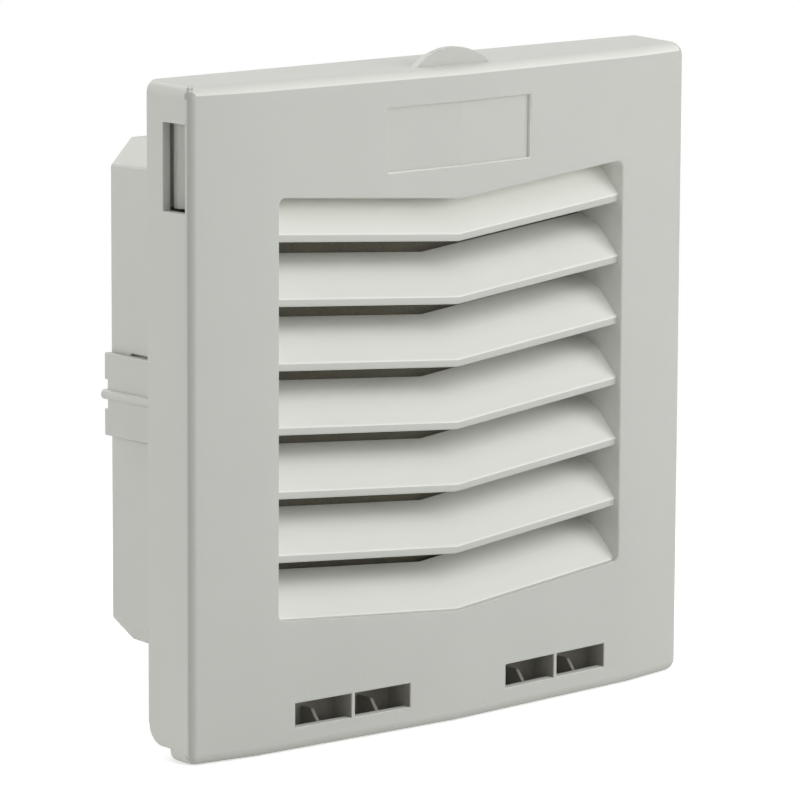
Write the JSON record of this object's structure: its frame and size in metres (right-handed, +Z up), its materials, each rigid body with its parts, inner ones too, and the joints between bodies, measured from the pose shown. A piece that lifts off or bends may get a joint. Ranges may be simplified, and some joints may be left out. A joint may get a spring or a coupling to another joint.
{
  "type": "exhaust grille",
  "caption": "Square louvred exhaust grille that clips into a panel cut-out, with a hinged cover over a filter mat and a tapered rear duct.",
  "frame": {"origin": "centre of the square panel cut-out, in the outer face of the panel", "axes": "+Y into the enclosure along the duct, +Z up, +X to the right seen from outside the enclosure"},
  "size_m": [0.15, 0.0542, 0.1534],
  "materials": {
    "moulded_cover": "moulded light grey ABS, finely eroded on the face",
    "moulded_frame": "moulded light grey ABS, satin",
    "filter_fibre": "needled polyester fibre",
    "gasket_foam": "closed-cell foam"
  },
  "bodies": {
    "frame": {"mounting_frame": "moulded_frame", "panel_gasket": "gasket_foam", "filter_mat": "filter_fibre", "filter_support_grid": "moulded_frame"},
    "cover": {"louvre_cover": "moulded_cover"},
    "clip_left": {"retaining_clip_left": "moulded_frame"},
    "clip_right": {"retaining_clip_right": "moulded_frame"},
    "latch_left": {"side_latch_left": "moulded_frame"},
    "latch_right": {"side_latch_right": "moulded_frame"}
  },
  "joints": [
    {"name": "cover_hinge", "type": "hinge", "parent": "frame", "child": "cover", "pos_m": [0, -0.0048, -0.0674], "axis": [1, 0, 0], "range_deg": [0, 59]},
    {"name": "clip_left_spring", "type": "hinge", "parent": "frame", "child": "clip_left", "pos_m": [-0.0588, 0.03065, 0], "axis": [0, 0, 1], "range_deg": [0, 3], "stiffness_Nm_per_rad": 2},
    {"name": "clip_right_spring", "type": "hinge", "parent": "frame", "child": "clip_right", "pos_m": [0.0588, 0.03065, 0], "axis": [0, 0, -1], "range_deg": [0, 3], "stiffness_Nm_per_rad": 2},
    {"name": "latch_left_spring", "type": "hinge", "parent": "frame", "child": "latch_left", "pos_m": [-0.07, -0.0027, 0.0566], "axis": [0, 0, 1], "range_deg": [0, 8], "stiffness_Nm_per_rad": 0.5},
    {"name": "latch_right_spring", "type": "hinge", "parent": "frame", "child": "latch_right", "pos_m": [0.07, -0.0027, 0.0566], "axis": [0, 0, -1], "range_deg": [0, 8], "stiffness_Nm_per_rad": 0.5}
  ]
}
